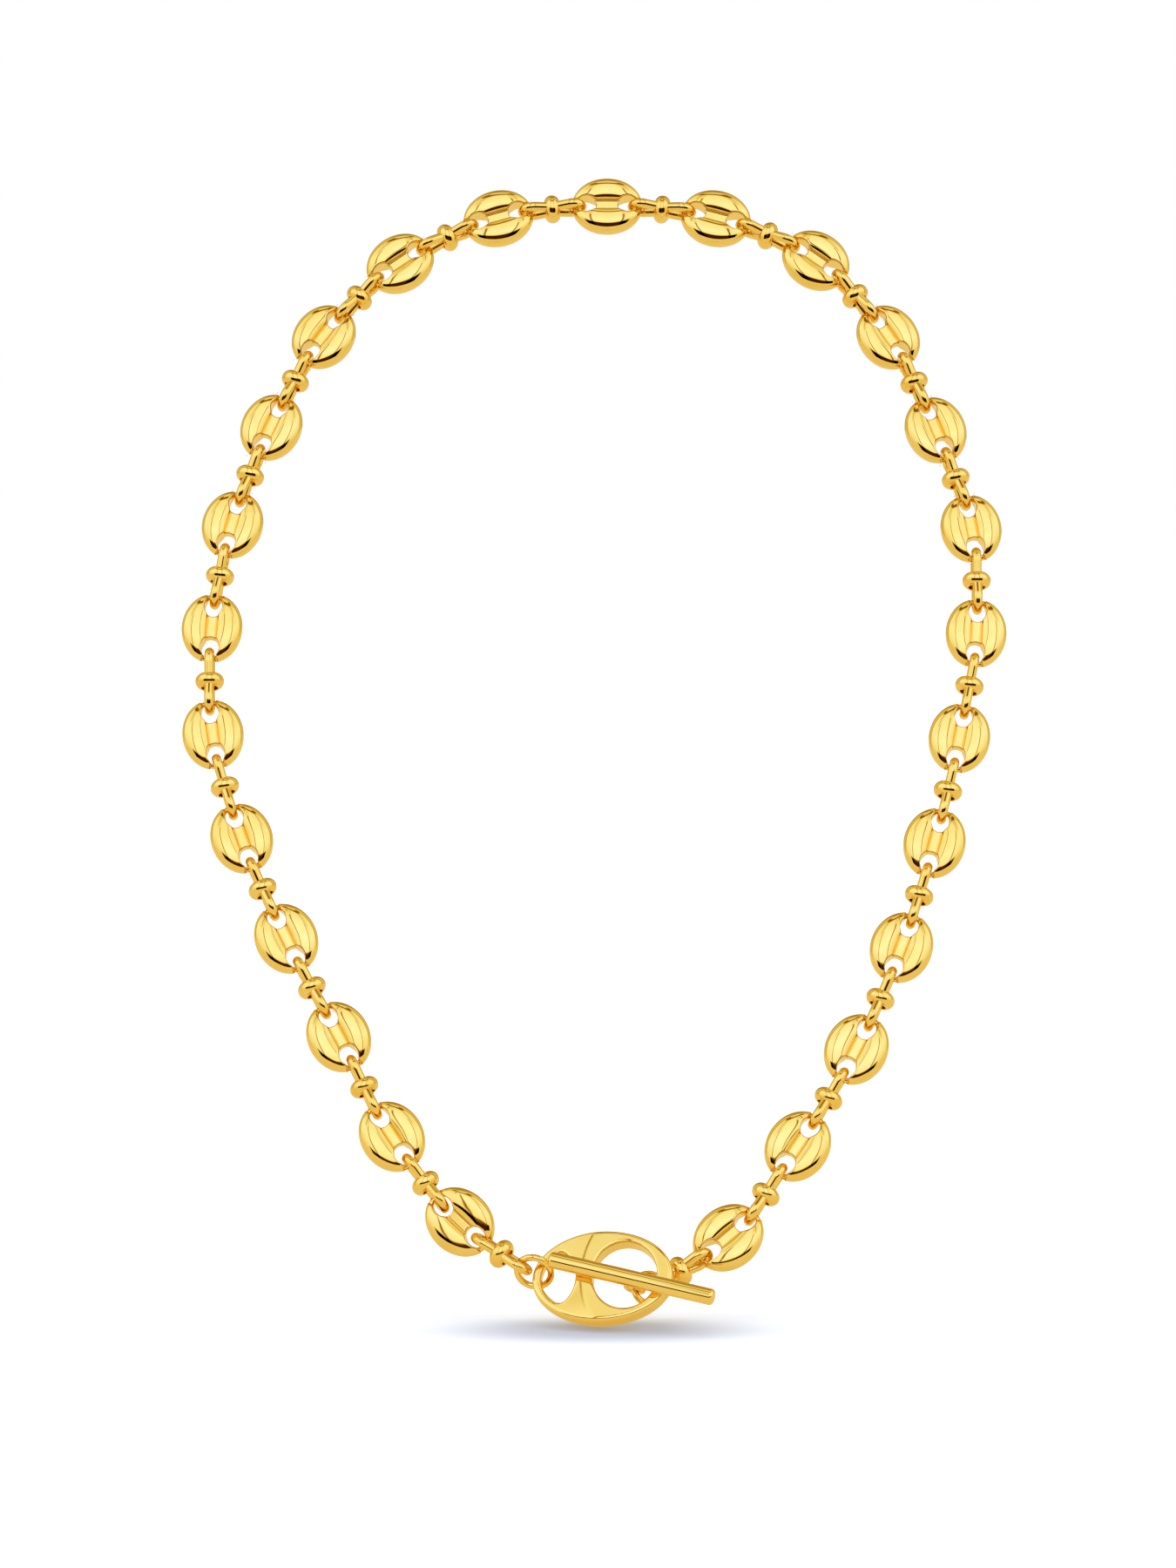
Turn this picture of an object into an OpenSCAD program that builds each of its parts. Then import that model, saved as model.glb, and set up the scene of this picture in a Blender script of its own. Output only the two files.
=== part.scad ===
// Mariner link necklace with beaded connectors and a toggle clasp, in millimetres.
// The origin is the middle of the top link, where the necklace hangs. +Z is up and -Y is the front.

/* [Mariner links] */
// length of a mariner link along the chain
link_len = 11; // [10.4:0.1:11.8]
// width of a mariner link across the chain
link_wid = 9.2; // [8.6:0.1:10.2]
// thickness of a mariner link at the crests of its two lobes
link_thk = 3.5; // [3.1:0.1:3.8]
// length of a lobe along the chain
lobe_len = 8.2; // [7.4:0.1:8.6]
// thickness of the web between the lobes, at its middle
web_thk = 2.4; // [2:0.1:2.6]
// how far the web's edge lies inside the link's width
web_inset = 0.15; // [0.1:0.01:0.25]
// thickness of the web where it ends at a hole's outer end
rim_thk = 0.9; // [0.7:0.05:0.95]
// metal left between a hole and the link's end
rim_end = 0.6; // [0.5:0.02:0.64]
// length of the two holes in a mariner link
hole_len = 3.2; // [3:0.05:3.4]
// width of the two holes in a mariner link
hole_wid = 2.7; // [2.5:0.05:3]
// width of the flat strip on the centre bar
strip_wid = 1.05; // [0.6:0.05:1.4]
// height of the centre bar's strip above the link's middle plane
strip_rise = 0.8; // [0.65:0.05:0.95]
// width of one sloping side of the centre bar
bevel_wid = 0.55; // [0.3:0.05:0.8]
// how much a sloping side of the centre bar falls
bevel_fall = 0.3; // [0.1:0.05:0.4]

/* [Connectors] */
// distance between the middles of two neighbouring mariner links
pitch = 17.06; // [16.6:0.02:17.6]
// thickness of the connector wire
wire_d = 1.45; // [1.2:0.05:1.5]
// radius of the bend at each end of a connector, to the wire's middle
bend_r = 1.6; // [1.58:0.02:1.8]
// distance of a strand's middle from the connector's axis inside the bead
waist = 0.85; // [0.8:0.05:0.95]
// outer diameter of a bead
bead_d = 4.35; // [4:0.05:4.8]
// length of a bead along the chain
bead_len = 2.4; // [2.1:0.05:2.7]
// diameter of the hole through a bead
bead_bore = 2.6; // [2.2:0.05:2.8]

/* [Toggle ring] */
// length of the toggle ring
ring_len = 20.4; // [19.8:0.1:21.4]
// width of the toggle ring
ring_wid = 13.9; // [13.4:0.1:14.8]
// thickness of the toggle ring on its flat part
ring_thk = 2.9; // [2.4:0.1:3]
// thickness of the toggle ring at its thin end
ring_tip_thk = 1.6; // [1.2:0.1:1.7]
// length of the big hole that takes the bar
eye_len = 9.3; // [9:0.1:9.6]
// width of the big hole that takes the bar
eye_wid = 10.1; // [9.6:0.1:10.4]
// metal between the big hole and the ring's end
eye_rim = 2.28; // [2:0.02:2.4]
// length of the small hole that takes the jump ring
slot_len = 5; // [4.6:0.1:5.4]
// metal around the small hole
slot_rim = 1.35; // [1.2:0.05:1.4]

/* [Toggle bar] */
// length of the toggle bar
bar_len = 24.8; // [22:0.1:27]
// diameter of the toggle bar
bar_d = 2.4; // [2:0.1:2.7]
// rounding of the toggle bar's ends
bar_round = 0.6; // [0.2:0.05:0.9]
// thickness of the wire of the bar's loop
loop_wire = 0.95; // [0.8:0.05:1]
// radius of the bar's loop, to the wire's middle
loop_r = 1.2; // [1.15:0.01:1.3]
// thickness of the post between the bar and its loop
post_d = 1.2; // [1:0.05:1.2]

/* [Jump rings] */
// thickness of the jump ring wire
jump_wire = 1; // [0.8:0.05:1.02]
// radius of the jump ring on the toggle ring, to the wire's middle
jump_r = 2.5; // [2.5:0.01:2.6]
// radius of the jump ring on the bar's loop, to the wire's middle
bar_jump_r = 2.3; // [2.28:0.01:2.36]

/* [Pose] */
// how far the necklace's plane leans back from upright
lean = 25; // [0:1:60]
// clearance between pieces that hang in each other
gap = 0.1; // [0.1:0.01:0.12]

/* [Hidden] */
// How far the chain has turned from level at each connector, from the top link down to the clasp,
// in degrees, chosen by hand from the photograph. The last value of each list leads to the clasp.
left_turn = [7, 27, 47, 63, 71, 81, 92, 106, 114, 118, 118, 128.2, 144.3];
right_turn = [7, 25, 50, 66, 73, 89, 100, 104, 108, 114, 121, 127, 152.2];
side_links = len(left_turn) - 1;

link_names = concat(["link_top"],
    [for (i = [1 : side_links]) str("link_left_", i)],
    [for (i = [1 : side_links]) str("link_right_", i)]);

$fn = 48;
gold = "gold";
deep_gold = "goldenrod";
overlap = 0.2;
strand_swell = 0.05;
edge_r = 13.6;
edge_inset = 1.1;
slot_r = 5;

// Mariner link: the web is an oval between two spheres, and each lobe is an arc turned about its chord.
lobe_r = link_thk / 2;
lobe_mid = link_wid / 2 - lobe_r;
lobe_arc = arc_radius(lobe_len / 2, lobe_r);
hole_end = link_len / 2 - rim_end;
web_fall = (web_thk - rim_thk) / 2;
web_r = arc_radius(hole_end, web_fall);

// Radius of the arc that rises by a height over half of its chord.
function arc_radius(half_chord, height) = (pow(half_chord, 2) + pow(height, 2)) / (2 * height);

// Connector: the wire's middle at a bend's tip sits this far from the mariner link's middle.
rim_corner = sqrt(pow(bend_r - wire_d / 2 - gap, 2) - pow(rim_thk / 2, 2));
hook = hole_end + rim_corner - bend_r;
span = pitch - 2 * hook;

// The last link of each side: its play at its two hooks, and how far it rolls about its length.
left_play = [0.9, 0.6];
right_play = [0.05, 0.1];
left_roll = 12;
right_roll = 5.5;

// The end connectors: how much the left one rises, and how far each turns about its own axis.
left_rise = 11;
left_twist = 18;
right_twist = 16.5;

// Points along the chain in its own plane, from the top link down one side.
function way(turn, side) = [side * cos(turn), -sin(turn), 0];
function at_end(side, i, other, left, right) = i < side_links ? other : side < 0 ? left : right;
function play(side, i) = at_end(side, i, [0, 0], left_play, right_play);
function place(turns, side, i) = i == 0 ? [0, 0, 0]
    : place(turns, side, i - 1) + (pitch - play(side, i)[0]) * way(turns[i - 1], side);
function link_way(turns, side, i) = i == 0 ? [side, 0, 0]
    : way((turns[i - 1] + turns[i]) / 2, side);
function hook_in(turns, side, i) = place(turns, side, i)
    - (hook - play(side, i)[0]) * link_way(turns, side, i);
function hook_out(turns, side, i) = place(turns, side, i)
    + (hook - play(side, i)[1]) * link_way(turns, side, i);
function heading(v) = atan2(v[1], v[0]);
function slope_of(v) = asin(v[2] / norm(v));

// The clasp in the same plane: the left end carries the jump ring and the toggle ring, and the
// right end reaches under the toggle ring to the jump ring in the bar's loop.
left_tip = hook_out(left_turn, -1, side_links)
    + span * (way(left_turn[side_links], -1) * cos(left_rise) + [0, 0, sin(left_rise)]);
jump_mid = left_tip + [1.02, -0.07, -0.65];
jump_pose = [49.4, 0, -14.8];
ring_pose = [-10, -8, 0];
ring_way = [cos(ring_pose[1]), 0, -sin(ring_pose[1])];
ring_mid = left_tip + [0.8093, -1.41, -0.6396] + ring_len / 2 * ring_way;
ring_far = ring_mid + ring_len / 2 * ring_way;
right_tip = ring_far + [-2.8807, -0.5, -4.2796];
bar_jump_mid = ring_far + [-3.3607, -0.99, -3.5496];
bar_jump_pose = [0, 15.5, 33.8];

// The bar lies on the toggle ring's face, with its near end clear of the jump ring, and its loop
// hangs through the big hole.
loop_spot = [ring_len / 2 - 6.0761, -1.1696];
loop_reach = 12.03;
bar_pose = [6.3, 0, -15.75];
bar_height = ring_thk / 2 + gap + bar_d / 2;
loop_depth = 2.33;
loop_drop = (bar_height + loop_depth) / cos(bar_pose[0]);

// Places a piece whose own x axis runs along a direction.
module along(from, direction, twist = 0) {
    translate(from)
        rotate([twist, -slope_of(direction), heading(direction)])
            children();
}

module upright() {
    rotate([90 - lean, 0, 0])
        children();
}

module ellipse(long, wide) {
    scale([long / wide, 1])
        circle(d = wide, $fn = 96);
}

module web() {
    intersection() {
        linear_extrude(link_thk, center = true)
            ellipse(link_len, link_wid - 2 * web_inset);
        web_dome();
        mirror([0, 0, 1])
            web_dome();
    }
}

module web_dome() {
    translate([0, 0, web_thk / 2 - web_r])
        sphere(web_r, $fn = 400);
}

// What is cut from the web above the centre bar's strip and its two sloping sides.
module bar_channel() {
    foot = strip_wid / 2 + bevel_wid;
    rotate([90, 0, 90])
        linear_extrude(link_len, center = true)
            polygon([
                [-foot, link_thk], [-foot, strip_rise - bevel_fall], [-strip_wid / 2, strip_rise],
                [strip_wid / 2, strip_rise], [foot, strip_rise - bevel_fall], [foot, link_thk]
            ]);
}

module lobe() {
    translate([0, lobe_mid, 0])
        rotate([0, 90, 0])
            rotate_extrude($fn = 64)
                intersection() {
                    translate([lobe_r - lobe_arc, 0])
                        circle(lobe_arc, $fn = 128);
                    translate([0, -lobe_len])
                        square([link_wid, 2 * lobe_len]);
                }
}

module mariner_link() {
    difference() {
        union() {
            difference() {
                web();
                for (side = [0, 1])
                    mirror([0, 0, side])
                        bar_channel();
            }
            lobe();
            mirror([0, 1, 0])
                lobe();
        }
        for (side = [-1, 1])
            translate([side * (hole_end - hole_len / 2), 0, 0])
                linear_extrude(2 * link_thk, center = true)
                    ellipse(hole_len, hole_wid);
    }
}

module torus(mean_r, wire) {
    rotate_extrude()
        translate([mean_r, 0])
            circle(d = wire, $fn = 24);
}

// Half of a connector: one bend and the two strands that run from it into the bead.
module half_connector(reach) {
    bend_mid = reach - bend_r;
    taper = asin(bend_r / norm([bend_mid, waist])) - atan2(waist, bend_mid);
    strand_len = (bend_mid - bend_r * sin(taper)) / cos(taper);
    translate([bend_mid, 0, 0])
        rotate([90, 0, 0])
            rotate([0, 0, -90 - taper])
                rotate_extrude(angle = 180 + 2 * taper)
                    translate([bend_r, 0])
                        circle(d = wire_d, $fn = 24);
    for (side = [0, 1])
        mirror([0, 0, side])
            translate([bend_mid - bend_r * sin(taper), 0, bend_r * cos(taper)])
                rotate([0, -90 - taper, 0])
                    translate([0, 0, -strand_swell])
                        cylinder(h = strand_len + overlap, d = wire_d + strand_swell, $fn = 24);
}

module bead() {
    rotate([0, 90, 0])
        rotate_extrude()
            difference() {
                translate([(bead_d - bead_len) / 2, 0])
                    circle(d = bead_len);
                translate([-bead_len, -bead_len])
                    square([bead_len + bead_bore / 2, 2 * bead_len]);
            }
}

module connector(from, to, twist) {
    reach = norm(to - from) / 2;
    along((from + to) / 2, to - from, twist)
        union() {
            half_connector(reach);
            mirror([1, 0, 0])
                half_connector(reach);
            bead();
        }
}

module chain_link(turns, side, i) {
    color(gold)
        upright()
            along(place(turns, side, i), link_way(turns, side, i),
                at_end(side, i, 0, left_roll, right_roll))
                mariner_link();
}

module connectors(turns, side, tip) {
    color(deep_gold)
        upright()
            for (i = [0 : side_links])
                connector(hook_out(turns, side, i),
                    i == side_links ? tip : hook_in(turns, side, i + 1),
                    at_end(side, i, 0, left_twist, right_twist));
}

// The flat part of the ring's face ends in an arc, and the face slopes away to the thin end.
module ring_slope() {
    edge_x = slot_len + slot_rim - ring_len / 2 + edge_inset;
    far_r = edge_r + (ring_len / 2 + edge_x) * ring_thk / (ring_thk - ring_tip_thk);
    for (side = [0, 1])
        mirror([0, 0, side])
            translate([edge_x + edge_r, 0, 0])
                cylinder(h = ring_thk / 2, r1 = far_r, r2 = edge_r, $fn = 200);
}

module ring_slot() {
    linear_extrude(2 * ring_thk, center = true)
        intersection() {
            ellipse(ring_len - 2 * slot_rim, ring_wid - 2 * slot_rim);
            translate([slot_rim + slot_len - ring_len / 2 - slot_r, 0])
                circle(slot_r, $fn = 96);
        }
}

module ring_body() {
    intersection() {
        difference() {
            linear_extrude(ring_thk, center = true)
                ellipse(ring_len, ring_wid);
            translate([(ring_len - eye_len) / 2 - eye_rim, 0, 0])
                linear_extrude(2 * ring_thk, center = true)
                    ellipse(eye_len, eye_wid);
            ring_slot();
        }
        ring_slope();
    }
}

module toggle_ring() {
    color(gold)
        upright()
            translate(ring_mid)
                rotate(ring_pose)
                    ring_body();
}

module jump_ring() {
    color(deep_gold)
        upright()
            translate(jump_mid)
                rotate(jump_pose)
                    torus(jump_r, jump_wire);
}

module bar_jump_ring() {
    color(deep_gold)
        upright()
            translate(bar_jump_mid)
                rotate(bar_jump_pose)
                    torus(bar_jump_r, jump_wire);
}

// The bar's outline, turned about its axis, with rounded ends.
module bar_outline() {
    inner_r = bar_d / 2 - bar_round;
    square([inner_r, bar_len / 2]);
    square([bar_d / 2, bar_len / 2 - bar_round]);
    translate([inner_r, bar_len / 2 - bar_round])
        circle(bar_round);
}

module bar_body() {
    translate([bar_len / 2 - loop_reach, 0, 0])
        rotate([0, 90, 0])
            rotate_extrude()
                union() {
                    bar_outline();
                    mirror([0, 1])
                        bar_outline();
                }
    translate([0, 0, loop_r - loop_drop])
        cylinder(h = loop_drop - loop_r, d = post_d);
    translate([0, 0, -loop_drop])
        rotate([90, 0, 0])
            torus(loop_r, loop_wire);
}

module toggle_bar() {
    color(gold)
        upright()
            translate(ring_mid)
                rotate(ring_pose)
                    translate([loop_spot[0], loop_spot[1], bar_height])
                        rotate(bar_pose)
                            bar_body();
}

chain_link(left_turn, 1, 0);  // link_top
for (i = [1 : side_links]) {
    chain_link(left_turn, -1, i);
    chain_link(right_turn, 1, i);
}
connectors(left_turn, -1, left_tip);  // connectors_left
connectors(right_turn, 1, right_tip);  // connectors_right
jump_ring();
toggle_ring();
bar_jump_ring();
toggle_bar();
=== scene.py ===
import math

import bpy
import numpy as np
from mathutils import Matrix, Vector


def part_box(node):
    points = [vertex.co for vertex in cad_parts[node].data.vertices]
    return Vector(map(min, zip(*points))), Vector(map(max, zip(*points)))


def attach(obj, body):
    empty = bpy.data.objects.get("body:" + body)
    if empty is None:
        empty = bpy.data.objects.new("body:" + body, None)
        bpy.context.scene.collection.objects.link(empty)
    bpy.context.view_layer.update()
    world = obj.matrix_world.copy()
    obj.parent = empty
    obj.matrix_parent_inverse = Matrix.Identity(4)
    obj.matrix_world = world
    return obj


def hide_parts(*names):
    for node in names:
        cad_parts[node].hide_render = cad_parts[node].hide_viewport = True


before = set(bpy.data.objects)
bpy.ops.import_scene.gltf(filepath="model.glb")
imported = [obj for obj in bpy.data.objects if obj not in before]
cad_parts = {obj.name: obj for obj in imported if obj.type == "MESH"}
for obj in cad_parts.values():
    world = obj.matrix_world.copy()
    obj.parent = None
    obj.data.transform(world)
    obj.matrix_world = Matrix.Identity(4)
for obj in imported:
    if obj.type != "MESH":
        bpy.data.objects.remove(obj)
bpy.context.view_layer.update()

mm = 0.001
leanBack = 25.0  # degrees that the necklace's plane leans back from upright


photo = {
    "aim": (-2.98, -40.29, -86.40),      # mm
    "away": 694.46,                      # mm from the aim to the lens
    "toward": (0.0, -0.9948, 0.1010),    # from the aim to the lens
    "lens": 106.84,                      # mm, on a 36 mm sensor
}


def setCamera(kit):
    data = bpy.data.cameras.new("photoCamera")
    data.sensor_width = 36.0
    data.lens = kit["lens"]
    data.clip_start = 0.01
    data.clip_end = 20.0
    camera = bpy.data.objects.new("photoCamera", data)
    bpy.context.scene.collection.objects.link(camera)
    toward = Vector(kit["toward"])
    camera.location = (Vector(kit["aim"]) + toward * kit["away"]) * mm
    camera.rotation_mode = "QUATERNION"
    camera.rotation_quaternion = (-toward).to_track_quat("-Z", "Y")
    bpy.context.scene.camera = camera


setCamera(photo)
print("camera set")


class Nodes:
    def __init__(self, tree):
        self.tree = tree

    def add(self, kind, **settings):
        # a setting is a property of the node, or else the value of an input
        node = self.tree.nodes.new(kind)
        for name, value in settings.items():
            if hasattr(node, name):
                setattr(node, name, value)
            else:
                node.inputs[name].default_value = value
        return node

    def join(self, output, target):
        self.tree.links.new(output, target)

    def math(self, operation, a, b=None, c=None, clamp=False):
        node = self.tree.nodes.new("ShaderNodeMath")
        node.operation = operation
        node.use_clamp = clamp
        for slot, value in enumerate((a, b, c)):
            if value is None:
                continue
            if isinstance(value, (int, float)):
                node.inputs[slot].default_value = value
            else:
                self.join(value, node.inputs[slot])
        return node.outputs[0]

    def ramp(self, factor, stops, smooth="LINEAR"):
        node = self.tree.nodes.new("ShaderNodeValToRGB")
        band = node.color_ramp
        band.interpolation = smooth
        while len(band.elements) < len(stops):
            band.elements.new(0.5)
        for element, (place, shade) in zip(band.elements, stops):
            element.position = place
            element.color = shade if isinstance(shade, tuple) else (shade, shade, shade, 1.0)
        self.join(factor, node.inputs[0])
        return node.outputs[0]


def newGroup(name, inputs, outputs):
    tree = bpy.data.node_groups.new(name, "ShaderNodeTree")
    for label, kind, start in inputs:
        socket = tree.interface.new_socket(label, in_out="INPUT", socket_type=kind)
        socket.default_value = start
    for label, kind in outputs:
        tree.interface.new_socket(label, in_out="OUTPUT", socket_type=kind)
    nodes = Nodes(tree)
    return nodes, nodes.add("NodeGroupInput"), nodes.add("NodeGroupOutput")


# side is the angle away from the lens, alike to the left and the right, and rise the
# angle above level, both in degrees; a later box covers the ones before it
room = {
    "back": 0.72,                                # behind the necklace
    "edge": {"side": (150.0, 200.0), "level": 0.42},     # darker far behind, for the outlines
    "gaps": {"side": (-9.0, 108.0), "rise": (-40.0, 81.5), "level": 0.24},   # between the boxes
    "boxes": {
        "sides": {"side": (22.8, 104.0), "rise": (-36.0, 72.0), "level": 1.17},
        "front": {"side": (-9.0, 21.5), "rise": (12.0, 72.0), "level": 1.26},
        "ringCard": {"side": (18.0, 52.0), "rise": (52.0, 72.0), "level": 1.12},
        "cardSlit": {"side": (35.5, 41.0), "rise": (50.0, 70.0), "level": 0.42},
        "barShade": {"side": (19.0, 45.0), "rise": (-34.0, 13.0), "level": 0.13},
    },
    "under": {"side": (-9.0, 23.0), "rise": (-29.0, 10.0), "level": 0.04},
    "ceiling": {"rise": (79.0, 99.0), "level": 0.92},
    "brightest": 37.0,                           # rise at which the boxes have their full level
    "fade": 0.0078,                              # level they lose for each degree from there
    "soft": 2.5,                                 # degrees over which an edge fades
    "tints": [                                   # dim parts are warm and the boxes are cool
        (0.0, (0.0, 0.0, 0.0)), (0.1, (0.12, 0.035, 0.0)), (0.3, (0.31, 0.16, 0.01)),
        (0.5, (0.54, 0.44, 0.18)), (0.75, (0.75, 0.70, 0.37)), (0.88, (0.85, 0.88, 0.68)),
        (1.0, (0.98, 1.08, 1.25)), (1.3, (1.28, 1.44, 2.3)),
    ],
    "fill": {"place": (0.0, -0.1, 0.75), "size": 0.5, "power": 1.0},     # m and watts
}


def buildRoom(kit):
    world = bpy.data.worlds.new("softStudio")
    world.use_nodes = True
    bpy.context.scene.world = world
    tree = world.node_tree
    tree.nodes.clear()
    n = Nodes(tree)
    split = n.add("ShaderNodeSeparateXYZ")
    n.join(n.add("ShaderNodeTexCoord").outputs["Generated"], split.inputs[0])
    x, y, z = split.outputs
    rise = n.math("MULTIPLY", n.math("ARCSINE", z), 180.0 / math.pi)
    turn = n.math("ARCTAN2", x, n.math("MULTIPLY", y, -1.0))
    side = n.math("ABSOLUTE", n.math("MULTIPLY", turn, 180.0 / math.pi))

    def band(value, low, high):
        return n.math("MULTIPLY",
                      n.math("DIVIDE", n.math("SUBTRACT", value, low), kit["soft"], clamp=True),
                      n.math("DIVIDE", n.math("SUBTRACT", high, value), kit["soft"], clamp=True))

    def paint(level, mask, value):
        return n.math("MULTIPLY_ADD", n.math("SUBTRACT", value, level), mask, level)

    def within(spec):
        return n.math("MULTIPLY", band(side, *spec["side"]), band(rise, *spec["rise"]))

    level = paint(kit["back"], band(side, *kit["edge"]["side"]), kit["edge"]["level"])
    level = paint(level, within(kit["gaps"]), kit["gaps"]["level"])
    for spec in kit["boxes"].values():
        off = n.math("ABSOLUTE", n.math("SUBTRACT", rise, kit["brightest"]))
        level = paint(level, within(spec), n.math("MULTIPLY_ADD", off, -kit["fade"], spec["level"]))
    level = paint(level, within(kit["under"]), kit["under"]["level"])
    level = paint(level, band(rise, *kit["ceiling"]["rise"]), kit["ceiling"]["level"])
    most = kit["tints"][-1][0]
    tinted = n.ramp(n.math("DIVIDE", level, most),
                    [(place / most, (*shade, 1.0)) for place, shade in kit["tints"]])
    # the lens sees plain white and the gold mirrors the room
    mirrored = n.add("ShaderNodeBackground")
    n.join(tinted, mirrored.inputs["Color"])
    plain = n.add("ShaderNodeBackground", Color=(1.0, 1.0, 1.0, 1.0), Strength=1.0)
    pick = n.add("ShaderNodeMixShader")
    n.join(n.add("ShaderNodeLightPath").outputs["Is Camera Ray"], pick.inputs[0])
    n.join(mirrored.outputs[0], pick.inputs[1])
    n.join(plain.outputs[0], pick.inputs[2])
    n.join(pick.outputs[0], n.add("ShaderNodeOutputWorld").inputs["Surface"])

    lamp = bpy.data.lights.new("overheadPanel", "AREA")
    lamp.size = kit["fill"]["size"]
    lamp.energy = kit["fill"]["power"]
    panel = bpy.data.objects.new("overheadPanel", lamp)
    panel.location = kit["fill"]["place"]
    panel.visible_glossy = False
    bpy.context.scene.collection.objects.link(panel)


paper = {
    "drop": 0.3,                                 # mm between the clasp and the floor
    "halfWidth": 1.6, "front": -0.3, "back": 2.2,        # m
    "colour": (0.44, 0.47, 0.55), "roughness": 0.9, "shine": 0.1,
    "mirrored": (0.46, 0.36, 0.1),               # how it looks in the gold
    # the paper's glow is dimmed in an oval under the clasp, a painted shadow
    "paintedShadowCentre": (-0.001, -0.0775, -0.163),    # m, under the clasp
    "paintedShadowReach": (0.030, 0.011, 1.0),           # m, half the oval shade's size
    # glow brightness from the painted shadow's middle out, where 0.5 is the edge of the oval
    "glowWithPaintedShadow": [(0.0, 0.16), (0.12, 0.19), (0.5, 0.62), (0.9, 0.85)],
}


def layPaper(kit):
    level = min(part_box(node)[0].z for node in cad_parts) - kit["drop"] * mm
    wide, front, back = kit["halfWidth"], kit["front"], kit["back"]
    corners = [(-wide, front), (wide, front), (wide, back), (-wide, back)]
    mesh = bpy.data.meshes.new("paleFloor")
    mesh.from_pydata([(*corner, level) for corner in corners], [], [(0, 1, 2, 3)])
    floor = bpy.data.objects.new("paleFloor", mesh)
    bpy.context.scene.collection.objects.link(floor)
    material = bpy.data.materials.new("whitePaperWithPaintedShadow")
    material.use_nodes = True
    n = Nodes(material.node_tree)
    cover = material.node_tree.nodes["Principled BSDF"]
    cover.inputs["Base Color"].default_value = (*kit["colour"], 1.0)
    cover.inputs["Roughness"].default_value = kit["roughness"]
    cover.inputs["Specular IOR Level"].default_value = kit["shine"]
    # white glow with a painted soft oval shadow under the clasp, over the paper's own diffuse
    # shading
    shift = n.add("ShaderNodeVectorMath", operation="SUBTRACT")
    n.join(n.add("ShaderNodeTexCoord").outputs["Object"], shift.inputs[0])
    shift.inputs[1].default_value = kit["paintedShadowCentre"]
    spread = n.add("ShaderNodeVectorMath", operation="DIVIDE")
    n.join(shift.outputs["Vector"], spread.inputs[0])
    spread.inputs[1].default_value = kit["paintedShadowReach"]
    away = n.add("ShaderNodeVectorMath", operation="LENGTH")
    n.join(spread.outputs["Vector"], away.inputs[0])
    glowWithPaintedShadow = n.ramp(n.math("MULTIPLY", away.outputs["Value"], 0.5, clamp=True), kit["glowWithPaintedShadow"], "EASE")
    # the lens alone sees the painted shadow, and the gold mirrors the paper without it
    seen = n.add("ShaderNodeMix", data_type="RGBA")
    n.join(n.add("ShaderNodeLightPath").outputs["Is Camera Ray"], seen.inputs["Factor"])
    seen.inputs[6].default_value = (*kit["mirrored"], 1.0)
    n.join(glowWithPaintedShadow, seen.inputs[7])
    n.join(seen.outputs[2], cover.inputs["Emission Color"])
    cover.inputs["Emission Strength"].default_value = 1.0
    mesh.materials.append(material)


buildRoom(room)
layPaper(paper)
bpy.context.scene.view_settings.view_transform = "Standard"
print("studio set")


def makeMarksGroup():
    n, given, made = newGroup("polishMarks", [
        ("Hairline Size", "NodeSocketFloat", 900.0),
        ("Smudge Size", "NodeSocketFloat", 160.0),
        ("Least Roughness", "NodeSocketFloat", 0.03),
        ("Most Roughness", "NodeSocketFloat", 0.1),
    ], [("Roughness", "NodeSocketFloat"), ("Height", "NodeSocketFloat")])
    place = n.add("ShaderNodeTexCoord").outputs["Object"]
    # hairlines are a noise stretched along one slanting way
    stretch = n.add("ShaderNodeMapping")
    stretch.inputs["Rotation"].default_value = (0.4, 0.7, 0.3)
    stretch.inputs["Scale"].default_value = (1.0, 9.0, 9.0)
    n.join(place, stretch.inputs["Vector"])
    hair = n.add("ShaderNodeTexNoise", Detail=4.0, Roughness=0.7)
    n.join(stretch.outputs[0], hair.inputs["Vector"])
    n.join(given.outputs["Hairline Size"], hair.inputs["Scale"])
    smudge = n.add("ShaderNodeTexNoise", Detail=3.0, Roughness=0.5)
    n.join(place, smudge.inputs["Vector"])
    n.join(given.outputs["Smudge Size"], smudge.inputs["Scale"])
    # each noise from where it starts to count, at this steepness
    worn = n.math("MULTIPLY", n.math("SUBTRACT", smudge.outputs[0], 0.35), 2.2, clamp=True)
    lines = n.math("MULTIPLY", n.math("SUBTRACT", hair.outputs[0], 0.55), 4.0, clamp=True)
    share = n.math("ADD", n.math("MULTIPLY", worn, 0.6), n.math("MULTIPLY", lines, 0.4), clamp=True)
    spread = n.math("SUBTRACT", given.outputs["Most Roughness"], given.outputs["Least Roughness"])
    n.join(n.math("MULTIPLY_ADD", share, spread, given.outputs["Least Roughness"]),
           made.inputs["Roughness"])
    n.join(n.math("ADD", n.math("MULTIPLY", hair.outputs[0], 0.7),
                  n.math("MULTIPLY", smudge.outputs[0], 0.3)), made.inputs["Height"])
    return n.tree


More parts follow.
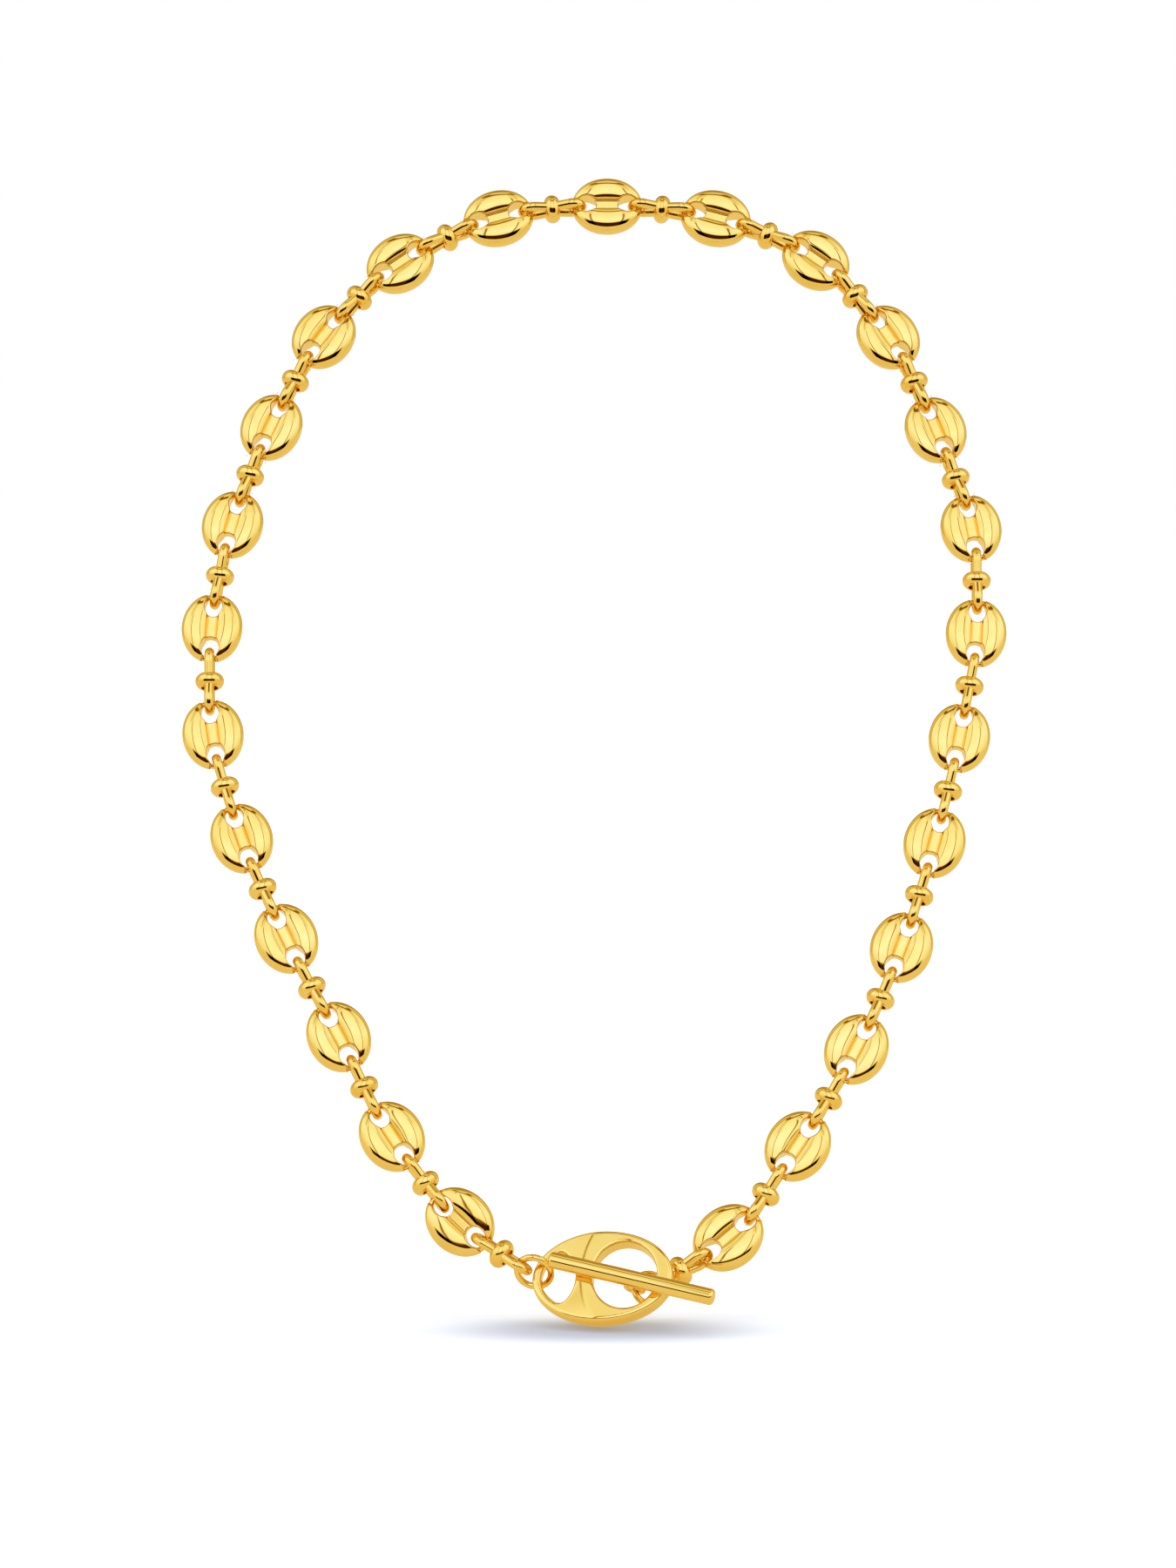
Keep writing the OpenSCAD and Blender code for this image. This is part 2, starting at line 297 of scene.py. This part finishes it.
def makeToneGroup():
    n, given, made = newGroup("goldTone", [
        ("Bright", "NodeSocketColor", (0.98, 0.65, 0.16, 1.0)),
        ("Deep", "NodeSocketColor", (0.93, 0.55, 0.09, 1.0)),
        ("Cloud Size", "NodeSocketFloat", 240.0),
    ], [("Color", "NodeSocketColor")])
    place = n.add("ShaderNodeTexCoord").outputs["Object"]
    cloud = n.add("ShaderNodeTexNoise", Detail=3.0, Roughness=0.55)
    n.join(place, cloud.inputs["Vector"])
    n.join(given.outputs["Cloud Size"], cloud.inputs["Scale"])
    mix = n.add("ShaderNodeMix", data_type="RGBA")
    n.join(n.math("MULTIPLY", n.math("SUBTRACT", cloud.outputs[0], 0.3), 2.4, clamp=True),
           mix.inputs["Factor"])
    n.join(given.outputs["Bright"], mix.inputs[6])
    n.join(given.outputs["Deep"], mix.inputs[7])
    n.join(mix.outputs[2], made.inputs["Color"])
    return n.tree


marksGroup = makeMarksGroup()
toneGroup = makeToneGroup()

# smooth and worn are the least and the most roughness; a bigger size number is a finer pattern
goldFinishes = {
    "linkGold": {"bright": (0.98, 0.69, 0.185), "deep": (0.95, 0.63, 0.13), "cloud": 210.0,
                 "hairline": 800.0, "smudge": 150.0, "smooth": 0.045, "worn": 0.10},
    "connectorGold": {"bright": (0.98, 0.68, 0.175), "deep": (0.95, 0.60, 0.11), "cloud": 330.0,
                      "hairline": 1100.0, "smudge": 260.0, "smooth": 0.05, "worn": 0.12},
    "claspGold": {"bright": (0.98, 0.69, 0.19), "deep": (0.96, 0.64, 0.14), "cloud": 160.0,
                  "hairline": 700.0, "smudge": 120.0, "smooth": 0.06, "worn": 0.13},
}
hairlineBump = {"strength": 0.02, "depth": 0.00002}      # on all three, depth in m


def makeGold(name, kit):
    material = bpy.data.materials.new(name)
    material.use_nodes = True
    n = Nodes(material.node_tree)
    metal = material.node_tree.nodes["Principled BSDF"]
    metal.inputs["Metallic"].default_value = 1.0
    tone = n.add("ShaderNodeGroup", node_tree=toneGroup)
    tone.inputs["Bright"].default_value = (*kit["bright"], 1.0)
    tone.inputs["Deep"].default_value = (*kit["deep"], 1.0)
    tone.inputs["Cloud Size"].default_value = kit["cloud"]
    n.join(tone.outputs["Color"], metal.inputs["Base Color"])
    marks = n.add("ShaderNodeGroup", node_tree=marksGroup)
    marks.inputs["Hairline Size"].default_value = kit["hairline"]
    marks.inputs["Smudge Size"].default_value = kit["smudge"]
    marks.inputs["Least Roughness"].default_value = kit["smooth"]
    marks.inputs["Most Roughness"].default_value = kit["worn"]
    n.join(marks.outputs["Roughness"], metal.inputs["Roughness"])
    bump = n.add("ShaderNodeBump", Strength=hairlineBump["strength"],
                 Distance=hairlineBump["depth"])
    n.join(marks.outputs["Height"], bump.inputs["Height"])
    n.join(bump.outputs[0], metal.inputs["Normal"])
    return material


golds = {name: makeGold(name, kit) for name, kit in goldFinishes.items()}
print("gold finishes made")


# a field is about the distance in mm outside a shape, and is below 0 inside it
def softMax(a, b, soft):
    return np.maximum(a, b) + np.maximum(soft - np.abs(a - b), 0.0) ** 2 / (4.0 * soft)


def softMin(a, b, soft):
    return -softMax(-a, -b, soft)


def ovalEdge(x, y, long, wide):
    # about the distance outside an oval in the plane
    a, b = long / 2.0, wide / 2.0
    near = np.sqrt((x / a) ** 2 + (y / b) ** 2) + 1e-9
    slope = np.sqrt((x / a ** 2) ** 2 + (y / b ** 2) ** 2) + 1e-9
    return near * (near - 1.0) / slope


def slopeOf(field, points):
    step = 0.01  # mm
    parts = []
    for axis in range(3):
        shift = np.zeros(3)
        shift[axis] = step
        parts.append((field(points + shift) - field(points - shift)) / (2.0 * step))
    return np.stack(parts, -1)


def settle(field, points, rounds):
    # moves points onto the field's zero level, no more than 0.15 mm a round, and not far
    # where the field is nearly flat
    for _ in range(rounds):
        slope = slopeOf(field, points)
        lean = np.maximum((slope ** 2).sum(-1, keepdims=True), 0.05)
        move = field(points)[:, None] * slope / lean
        points = points - np.clip(move, -0.15, 0.15)
    return points


def skin(field, half, step):
    # quads round the zero level of a field, relaxed and then pushed onto it; half is half the
    # size of the box that is searched, about the origin
    counts = [int(math.ceil(2.0 * h / step)) + 3 for h in half]
    axes = [(np.arange(c) - (c - 1) / 2.0) * step for c in counts]
    grid = np.stack(np.meshgrid(*axes, indexing="ij"), -1)
    inside = field(grid) < 0.0
    cells = np.zeros([c - 1 for c in counts], int)
    for i in (0, 1):
        for j in (0, 1):
            for k in (0, 1):
                cells += inside[i:i + counts[0] - 1, j:j + counts[1] - 1, k:k + counts[2] - 1]
    mixed = (cells > 0) & (cells < 8)
    number = np.full(mixed.shape, -1)
    number[mixed] = np.arange(mixed.sum())
    points = grid[:-1, :-1, :-1][mixed] + step / 2.0
    faces = []
    for axis in range(3):
        one, two = [a for a in range(3) if a != axis]
        here = np.moveaxis(inside, (axis, one, two), (0, 1, 2))
        cell = np.moveaxis(number, (axis, one, two), (0, 1, 2))
        first, last = here[:-1, 1:-1, 1:-1], here[1:, 1:-1, 1:-1]
        around = np.stack([cell[:, :-1, :-1], cell[:, 1:, :-1],
                           cell[:, 1:, 1:], cell[:, :-1, 1:]], -1)
        outward = around[first & ~last]
        inward = around[~first & last][:, ::-1]
        if axis == 1:
            outward, inward = outward[:, ::-1], inward[:, ::-1]
        faces += [outward, inward]
    faces = np.concatenate(faces)
    points = settle(field, points, 2)
    for _ in range(5):
        total = np.zeros_like(points)
        count = np.zeros(len(points))
        for side in range(4):
            a, b = faces[:, side], faces[:, (side + 1) % 4]
            np.add.at(total, a, points[b])
            np.add.at(count, a, 1.0)
            np.add.at(total, b, points[a])
            np.add.at(count, b, 1.0)
        points = settle(field, 0.5 * points + 0.5 * total / count[:, None], 1)
    points = settle(field, points, 3)
    slope = slopeOf(field, points)
    return points, faces, slope / np.linalg.norm(slope, axis=1, keepdims=True)


def turned(angles):
    # turns about x, then y, then z, in degrees
    made = np.eye(3)
    for axis, angle in enumerate(angles):
        c, s = math.cos(math.radians(angle)), math.sin(math.radians(angle))
        turn = [np.array([[1, 0, 0], [0, c, -s], [0, s, c]]),
                np.array([[c, 0, s], [0, 1, 0], [-s, 0, c]]),
                np.array([[c, -s, 0], [s, c, 0], [0, 0, 1]])][axis]
        made = turn @ made
    return made


upright = turned((90.0 - leanBack, 0.0, 0.0))


def makePiece(name, parts, finish, slot, *nodes):
    # parts are (points, faces, normals, turn, place), all in the necklace's own plane and mm
    spots, sheets, looks, start = [], [], [], 0
    for points, faces, normals, turn, place in parts:
        whole = upright @ turn
        spots.append((points @ whole.T + upright @ place) * mm)
        looks.append(normals @ whole.T)
        sheets.append(faces + start)
        start += len(points)
    spots, looks, sheets = (np.concatenate(a) for a in (spots, looks, sheets))
    mesh = bpy.data.meshes.new(name)
    mesh.from_pydata(spots.tolist(), [], sheets.tolist())
    mesh.polygons.foreach_set("use_smooth", [True] * len(sheets))
    mesh.normals_split_custom_set_from_vertices(looks.tolist())
    mesh.materials.append(golds[finish])
    mesh.update()
    piece = bpy.data.objects.new(name, mesh)
    bpy.context.scene.collection.objects.link(piece)
    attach(piece, "root")
    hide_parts(*nodes)


# every length from here on is in mm
link = {
    "length": 11.0, "width": 9.2, "thickness": 3.5,
    "webThickness": 2.4, "webInset": 0.15, "rimThickness": 0.9, "rimEnd": 0.6,
    "holeLength": 3.2, "holeWidth": 2.7,
    "stripWidth": 1.05, "stripRise": 0.8, "bevelWidth": 0.55, "bevelFall": 0.3,
    "grooveEdge": 0.74,   # where a lobe's inner side starts, from the centre line
    "grooveFlare": 0.6,   # how much further out it starts at the link's end
    "crest": 2.5,         # the lobe's highest line, from the centre line
    "crown": 2.4,         # outer side: 2 is round, more is flatter near the crest
    "innerDome": 7.7,     # radius of the inner side at the crest
    "innerFall": 0.042,   # how fast it steepens away from the crest
    "lobeStop": 0.2,      # how far before the link's ends the lobes run out
    "endPower": 2.4,      # how long the lobes stay high towards the link's ends
    "innerEdge": 0.32,    # rounding where the inner side drops to the centre bar
    "webEdge": 0.45, "stripEdge": 0.3, "lobeFoot": 0.18, "holeEdge": 0.25,   # other roundings
    "half": (5.6, 4.7, 1.9), "step": 0.155,      # half size and step of its grid
}


def arcRadius(halfChord, height):
    return (halfChord ** 2 + height ** 2) / (2.0 * height)


def linkField(kit):
    endX, sideY = kit["length"] / 2.0, kit["width"] / 2.0
    eyeEnd = endX - kit["rimEnd"]
    webTop = kit["webThickness"] / 2.0
    webRadius = arcRadius(eyeEnd, (kit["webThickness"] - kit["rimThickness"]) / 2.0)
    full, rim = kit["thickness"] / 2.0, kit["rimThickness"] / 2.0
    reach, crown, power = endX - kit["lobeStop"], kit["crown"], kit["endPower"]
    foot = kit["stripWidth"] / 2.0
    fall = kit["bevelFall"] / kit["bevelWidth"]

    def lobes(u, v, w):
        # the least values keep the lobes from shrinking to nothing at the link's ends
        oval = np.sqrt(np.maximum(1.0 - (u / endX) ** 2, 1e-4))
        edge = kit["grooveEdge"] + kit["grooveFlare"] * (2.0 * u / kit["length"]) ** 6
        crest = np.maximum(kit["crest"] * oval, edge + 0.05)
        half = np.maximum(sideY * oval - crest, 0.08)
        lasting = np.maximum(1.0 - (u / reach) ** power, 0.0) ** (1.0 / power)
        high = np.maximum(full * lasting, rim * 0.8)
        down = v - crest
        share = ((np.maximum(down, 0.0) / half) ** crown + (w / high) ** crown) ** (1.0 / crown)
        outside = (share - 1.0) * np.minimum(half, high)
        dome = w - high + down ** 2 / (2.0 * kit["innerDome"]) + kit["innerFall"] * down ** 4
        inside = softMax(dome, edge - v, kit["innerEdge"])
        return np.where(v > crest, outside, inside)

    def plate(u, v, w):
        # the oval plate between the lobes, with the flat strip along its middle
        web = softMax(ovalEdge(u, v, kit["length"], kit["width"] - 2.0 * kit["webInset"]),
                      np.sqrt(u ** 2 + v ** 2 + (w + webRadius - webTop) ** 2) - webRadius,
                      kit["webEdge"])
        past = np.clip(v - foot, 0.0, kit["bevelWidth"])
        channel = w - (kit["stripRise"] - fall * past)
        wall = foot + kit["bevelWidth"] - v
        return softMax(web, np.minimum(channel, wall), kit["stripEdge"])

    def field(p):
        u, v, w = np.abs(p[..., 0]), np.abs(p[..., 1]), np.abs(p[..., 2])
        body = softMin(plate(u, v, w), lobes(u, v, w), kit["lobeFoot"])
        hole = -ovalEdge(u - (eyeEnd - kit["holeLength"] / 2.0), v,
                         kit["holeLength"], kit["holeWidth"])
        return softMax(body, hole, kit["holeEdge"])

    return field


masterLink = skin(linkField(link), link["half"], link["step"])
print("link has", len(masterLink[0]), "points and", len(masterLink[1]), "quads")


chain = {
    # each step's way from the top link down, in degrees below level; the last is the connector's
    "leftTurn": [7, 27, 47, 63, 71, 81, 92, 106, 114, 118, 118, 128.2, 144.3],
    "rightTurn": [7, 25, 50, 66, 73, 89, 100, 104, 108, 114, 121, 127, 152.2],
    "pitch": 17.06,                  # from one link to the next
    # how far the last link slips up the chain, and the last connector up in its hole
    "leftPlay": (0.9, 0.6), "rightPlay": (0.05, 0.1),
    "leftRoll": 12.0, "rightRoll": 5.5,          # last links, degrees about their length
    "leftTwist": 18.0, "rightTwist": 16.5,       # last connectors, degrees about their length
    "leftRise": 11.0,                # degrees that the last left connector leaves the plane
    "gap": 0.1,                      # between pieces that hook into each other
}

connector = {
    "wire": 1.45, "bend": 1.6,       # bend is the wire's middle line
    "waist": 0.85,                   # from the axis to each strand's middle inside the bead
    "bead": 4.35, "beadLength": 2.4, "bore": 2.6, "lip": 0.16,
    "solderDeep": 0.62,              # half the solder's length at the bead's wall
    "solderBulge": 0.12,             # how much less it is in the middle
    "wireSides": 24, "beadSides": 56, "solderSides": 28,
}

# places in the clasp in the necklace's plane, the first two from the left chain's tip and the
# others from the ring's middle
claspPlaces = {
    "jumpRing": (1.02, -0.07, -0.65), "ring": (10.91, -1.41, 0.78),
    "rightTip": (7.22, -0.5, -2.86), "barJumpRing": (6.74, -0.99, -2.13),
}

sideLinks = len(chain["leftTurn"]) - 1
holeEnd = link["length"] / 2.0 - link["rimEnd"]
rimCorner = math.sqrt((connector["bend"] - connector["wire"] / 2.0 - chain["gap"]) ** 2
                      - (link["rimThickness"] / 2.0) ** 2)
hook = holeEnd + rimCorner - connector["bend"]   # from a link's middle to a connector's end
span = chain["pitch"] - 2.0 * hook               # a connector's length


def way(turn, side):
    return np.array([side * math.cos(math.radians(turn)), -math.sin(math.radians(turn)), 0.0])


def along(direction, twist=0.0):
    heading = math.degrees(math.atan2(direction[1], direction[0]))
    slope = math.degrees(math.asin(direction[2] / np.linalg.norm(direction)))
    return turned((twist, -slope, heading))


def sideRun(side):
    # middles and directions of one side's links, and the hooks at each connector
    turns = chain["leftTurn"] if side < 0 else chain["rightTurn"]
    lastPlay = chain["leftPlay"] if side < 0 else chain["rightPlay"]
    mids, ways, ends = [np.zeros(3)], [np.array([side, 0.0, 0.0])], []
    play = [(0.0, 0.0)] * sideLinks + [lastPlay]
    for i in range(sideLinks):
        mids.append(mids[i] + (chain["pitch"] - play[i + 1][0]) * way(turns[i], side))
        ways.append(way((turns[i] + turns[i + 1]) / 2.0, side))
    outs = [mids[i] + (hook - play[i][1]) * ways[i] for i in range(sideLinks + 1)]
    ins = [mids[i] - (hook - play[i][0]) * ways[i] for i in range(sideLinks + 1)]
    for i in range(sideLinks):
        ends.append((outs[i], ins[i + 1]))
    return mids, ways, ends, outs[sideLinks]


leftMids, leftWays, leftEnds, leftOut = sideRun(-1)
rightMids, rightWays, rightEnds, rightOut = sideRun(1)
rise = math.radians(chain["leftRise"])
leftTip = leftOut + span * (way(chain["leftTurn"][sideLinks], -1) * math.cos(rise)
                            + np.array([0.0, 0.0, math.sin(rise)]))
jumpMid = leftTip + np.array(claspPlaces["jumpRing"])
ringMid = leftTip + np.array(claspPlaces["ring"])
rightTip = ringMid + np.array(claspPlaces["rightTip"])
barJumpMid = ringMid + np.array(claspPlaces["barJumpRing"])
leftEnds.append((leftOut, leftTip))
rightEnds.append((rightOut, rightTip))

makePiece("marinerLinkTop", [(*masterLink, np.eye(3), np.zeros(3))],
          "linkGold", "link_gold", "link_top")
for label, mids, ways, roll in (("Left", leftMids, leftWays, chain["leftRoll"]),
                                ("Right", rightMids, rightWays, chain["rightRoll"])):
    for i in range(1, sideLinks + 1):
        turn = along(ways[i], roll if i == sideLinks else 0.0)
        makePiece(f"marinerLink{label}{i}", [(*masterLink, turn, mids[i])],
                  "linkGold", "link_gold", f"link_{label.lower()}_{i}")
print("links placed")


def gridFaces(count, sides):
    # quads over a closed run of closed rings, each with this many sides
    i, j = np.meshgrid(np.arange(count), np.arange(sides), indexing="ij")
    nextI, nextJ = (i + 1) % count, (j + 1) % sides
    return np.stack([i * sides + j, nextI * sides + j, nextI * sides + nextJ, i * sides + nextJ],
                    -1).reshape(-1, 4)


def wireLoop(points, out, radius, sides):
    # a closed wire along points that lie in the x-z plane; out is the outward way at each
    around = np.linspace(0.0, 2.0 * math.pi, sides, endpoint=False)
    flat = np.array([0.0, 1.0, 0.0])
    rims = (np.cos(around)[None, :, None] * out[:, None, :]
            + np.sin(around)[None, :, None] * flat[None, None, :])
    spots = points[:, None, :] + radius * rims
    return spots.reshape(-1, 3), gridFaces(len(points), sides), rims.reshape(-1, 3)


def wireRing(radius, wire, steps, sides):
    # a round ring of wire in the x-z plane
    angles = np.linspace(0.0, 2.0 * math.pi, steps, endpoint=False)
    out = np.stack([np.cos(angles), np.zeros(steps), np.sin(angles)], -1)
    spots, faces, looks = wireLoop(radius * out, out, wire / 2.0, sides)
    return spots, faces[:, ::-1], looks


def lathe(profile, normals, sides):
    # a closed profile of (x, distance from the x axis) turned about the x axis
    around = np.linspace(0.0, 2.0 * math.pi, sides, endpoint=False)
    c, s = np.cos(around), np.sin(around)

    def spin(pairs):
        x = np.repeat(pairs[:, None, 0], sides, 1)
        return np.stack([x, pairs[:, None, 1] * c, pairs[:, None, 1] * s], -1).reshape(-1, 3)

    faces = gridFaces(len(profile), sides)[:, [0, 3, 2, 1]]
    return spin(profile), faces, spin(normals)


def wirePath(reach, kit):
    # two bends and the two strands between them, which pinch together in the bead
    bend, waist = kit["bend"], kit["waist"]
    mid = reach - bend
    taper = math.asin(bend / math.hypot(mid, waist)) - math.atan2(waist, mid)
    half = np.linspace(math.pi / 2.0 + taper, -math.pi / 2.0 - taper, 33)
    shares = (0.25, 0.5, 0.75)
    points, outs = [], []
    for side in (1.0, -1.0):
        for angle in half:
            outs.append((side * math.cos(angle), side * math.sin(angle)))
            points.append((side * mid + bend * outs[-1][0], bend * outs[-1][1]))
        # down the strand to the other bend, through the bead
        far = np.array([side * (mid - bend * math.sin(taper)), -side * bend * math.cos(taper)])
        low = np.array([0.0, -side * waist])
        for share in shares:
            points.append(tuple(far * (1 - share) + low * share))
            outs.append((-side * math.sin(taper), -side * math.cos(taper)))
        points.append(tuple(low))
        outs.append((0.0, -side))
        for share in shares:
            points.append(tuple(low * (1 - share) + far * (-1, 1) * share))
            outs.append((side * math.sin(taper), -side * math.cos(taper)))
    return np.insert(np.array(points), 1, 0.0, axis=1), np.insert(np.array(outs), 1, 0.0, axis=1)


def bothHalves(pairs):
    # half an outline at +x made whole, from -x to +x
    return [(-x, r) for x, r in pairs] + pairs[::-1]


def beadProfile(kit):
    bulge = kit["beadLength"] / 2.0
    centre = kit["bead"] / 2.0 - bulge
    bore, lip = kit["bore"] / 2.0, kit["lip"]
    limit = math.acos((bore + lip - centre) / bulge)
    rows, looks, lipRows, lipLooks = [], [], [], []
    for t in np.linspace(-limit, limit, 25):
        rows.append((bulge * math.sin(t), centre + bulge * math.cos(t)))
        looks.append((math.sin(t), math.cos(t)))
    for t in np.linspace(0.15, 1.0, 6):      # the rounded lip into the bore
        angle = limit + t * (math.pi - limit)
        lipRows.append(((bulge - lip) * math.sin(limit) + lip * math.sin(angle),
                        bore + lip + lip * (math.cos(angle) - math.cos(limit))))
        lipLooks.append((math.sin(angle), math.cos(angle)))
    shares = (0.66, 0.33, 0.0, -0.33, -0.66)
    wallRows = [(lipRows[-1][0] * share, bore) for share in shares]
    rows += lipRows + wallRows + [(-x, r) for x, r in lipRows[::-1]]
    looks += lipLooks + [(0.0, -1.0)] * len(shares) + [(-a, b) for a, b in lipLooks[::-1]]
    return np.array(rows), np.array(looks)


def solderProfile(kit):
    # closes the bead round the two strands, a little inside its mouths
    lap = 0.02                               # how far it runs into the bead's wall
    deep, bore, bulge = kit["solderDeep"], kit["bore"] / 2.0 + lap, kit["solderBulge"]
    rows, looks = [], []
    for t in np.linspace(0.0, 1.0, 7):
        rows.append((deep - bulge * (1.0 - t) ** 2, lap + (bore - lap) * t))
        looks.append((1.0, -2.0 * bulge * (1.0 - t) / bore))
    looks = np.array(bothHalves(looks))
    return np.array(bothHalves(rows)), looks / np.linalg.norm(looks, axis=1, keepdims=True)


bead = lathe(*beadProfile(connector), connector["beadSides"])
solder = lathe(*solderProfile(connector), connector["solderSides"])
for label, ends, twist in (("Left", leftEnds, chain["leftTwist"]),
                           ("Right", rightEnds, chain["rightTwist"])):
    parts = []
    for i, (start, stop) in enumerate(ends):
        turn = along(stop - start, twist if i == sideLinks else 0.0)
        middle = (start + stop) / 2.0
        points, outs = wirePath(np.linalg.norm(stop - start) / 2.0, connector)
        wire = wireLoop(points, outs, connector["wire"] / 2.0, connector["wireSides"])
        parts += [(*shape, turn, middle) for shape in (wire, bead, solder)]
    makePiece(f"beadedConnectors{label}", parts, "connectorGold", "connector_gold",
              f"connectors_{label.lower()}")
print("connectors made")


ring = {
    "length": 20.4, "width": 13.9, "thickness": 2.9,
    "tip": 1.6,                      # thickness at the left end
    "eyeLength": 9.3, "eyeWidth": 10.1, "eyeRim": 2.28,              # the big hole
    "slotLength": 5.0, "slotRim": 1.35, "slotRound": 5.0,            # the small hole
    "edgeRound": 13.6,               # radius of the fold where the slope to the left starts
    "edgeInset": 1.1,                # from the small hole's right end to the fold
    "foldSoft": 0.05, "edgeSoft": 0.6, "holeSoft": 0.42, "slotCorner": 0.9,      # roundings
    "pose": (-10.0, -8.0, 0.0),
    "half": (10.4, 7.2, 1.6), "step": 0.2,       # half size and step of its grid
}


def ringField(kit):
    half = kit["thickness"] / 2.0
    foldX = kit["slotLength"] + kit["slotRim"] - kit["length"] / 2.0 + kit["edgeInset"]
    farRadius = kit["edgeRound"] + ((kit["length"] / 2.0 + foldX) * kit["thickness"]
                                    / (kit["thickness"] - kit["tip"]))
    run = farRadius - kit["edgeRound"]
    drop = math.hypot(half, run)
    eyeX = (kit["length"] - kit["eyeLength"]) / 2.0 - kit["eyeRim"]
    slotX = kit["slotRim"] + kit["slotLength"] - kit["length"] / 2.0 - kit["slotRound"]
    inLength, inWidth = kit["length"] - 2 * kit["slotRim"], kit["width"] - 2 * kit["slotRim"]

    def field(p):
        x, y, w = p[..., 0], p[..., 1], np.abs(p[..., 2])
        slope = ((np.sqrt((x - foldX - kit["edgeRound"]) ** 2 + y ** 2) - kit["edgeRound"]) * half
                 + (w - half) * run) / drop
        slab = softMax(w - half, slope, kit["foldSoft"])
        body = softMax(ovalEdge(x, y, kit["length"], kit["width"]), slab, kit["edgeSoft"])
        eye = -ovalEdge(x - eyeX, y, kit["eyeLength"], kit["eyeWidth"])
        slot = softMax(ovalEdge(x, y, inLength, inWidth),
                       np.sqrt((x - slotX) ** 2 + y ** 2) - kit["slotRound"], kit["slotCorner"])
        return softMax(softMax(body, eye, kit["holeSoft"]), -slot, kit["holeSoft"])

    return field


ringSkin = skin(ringField(ring), ring["half"], ring["step"])
ringTurn = turned(ring["pose"])
makePiece("claspRing", [(*ringSkin, ringTurn, ringMid)], "claspGold", "clasp_gold", "toggle_ring")
print("clasp ring has", len(ringSkin[0]), "points")


bar = {
    "length": 24.8, "thick": 2.4, "round": 0.6,
    "post": 1.2, "postRound": 0.1, "loopWire": 0.95, "loopRadius": 1.2,
    "spot": (4.48, -1.27), "pose": (6.3, 0.0, -15.75),       # against the clasp ring
    "loopDepth": 2.33,               # how far the loop's middle is behind the ring's middle plane
    "loopShift": -0.37,              # of the post along the bar, from the bar's middle
    "sides": 96, "postSides": 40, "loopSteps": 72, "wireSides": 28,
}


def rodProfile(length, radius, corner):
    # the outline of a round rod with rounded ends
    rows, looks = [], []
    for t in (0.004, 0.35, 0.7):
        rows.append((length / 2.0, (radius - corner) * t))
        looks.append((1.0, 0.0))
    for angle in np.linspace(0.0, math.pi / 2.0, 12):
        looks.append((math.cos(angle), math.sin(angle)))
        rows.append((length / 2.0 - corner + corner * math.cos(angle),
                     radius - corner + corner * math.sin(angle)))
    for share in np.linspace(0.9, 0.1, 9):
        rows.append(((length / 2.0 - corner) * share, radius))
        looks.append((0.0, 1.0))
    return np.array(bothHalves(rows)), np.array(bothHalves(looks))


barHeight = ring["thickness"] / 2.0 + chain["gap"] + bar["thick"] / 2.0
loopDrop = (barHeight + bar["loopDepth"]) / math.cos(math.radians(bar["pose"][0]))
postLength = loopDrop - bar["loopRadius"]
barTurn = ringTurn @ turned(bar["pose"])
barPlace = ringMid + ringTurn @ np.array([*bar["spot"], barHeight])
rod = lathe(*rodProfile(bar["length"], bar["thick"] / 2.0, bar["round"]), bar["sides"])
post = lathe(*rodProfile(postLength, bar["post"] / 2.0, bar["postRound"]), bar["postSides"])
barLoop = wireRing(bar["loopRadius"], bar["loopWire"], bar["loopSteps"], bar["wireSides"])
makePiece("claspBar", [
    (*rod, barTurn, barPlace),
    (*post, barTurn @ turned((0.0, 90.0, 0.0)),
     barPlace + barTurn @ np.array([bar["loopShift"], 0.0, -postLength / 2.0])),
    (*barLoop, barTurn, barPlace + barTurn @ np.array([bar["loopShift"], 0.0, -loopDrop])),
], "claspGold", "clasp_gold", "toggle_bar")
print("clasp bar made")

jumpRings = {
    "claspJumpRing": {"node": "jump_ring", "radius": 2.5, "wire": 1.0, "mid": jumpMid,
                      "pose": (49.4, 0.0, -14.8), "steps": 96, "sides": 28},
    "barJumpRing": {"node": "bar_jump_ring", "radius": 2.3, "wire": 1.0, "mid": barJumpMid,
                    "pose": (0.0, 15.5, 33.8), "steps": 96, "sides": 28},
}
for name, kit in jumpRings.items():
    shape = wireRing(kit["radius"], kit["wire"], kit["steps"], kit["sides"])
    lying = turned(kit["pose"]) @ turned((90.0, 0.0, 0.0))
    makePiece(name, [(*shape, lying, kit["mid"])], "claspGold", "clasp_gold", kit["node"])
print("jump rings made")
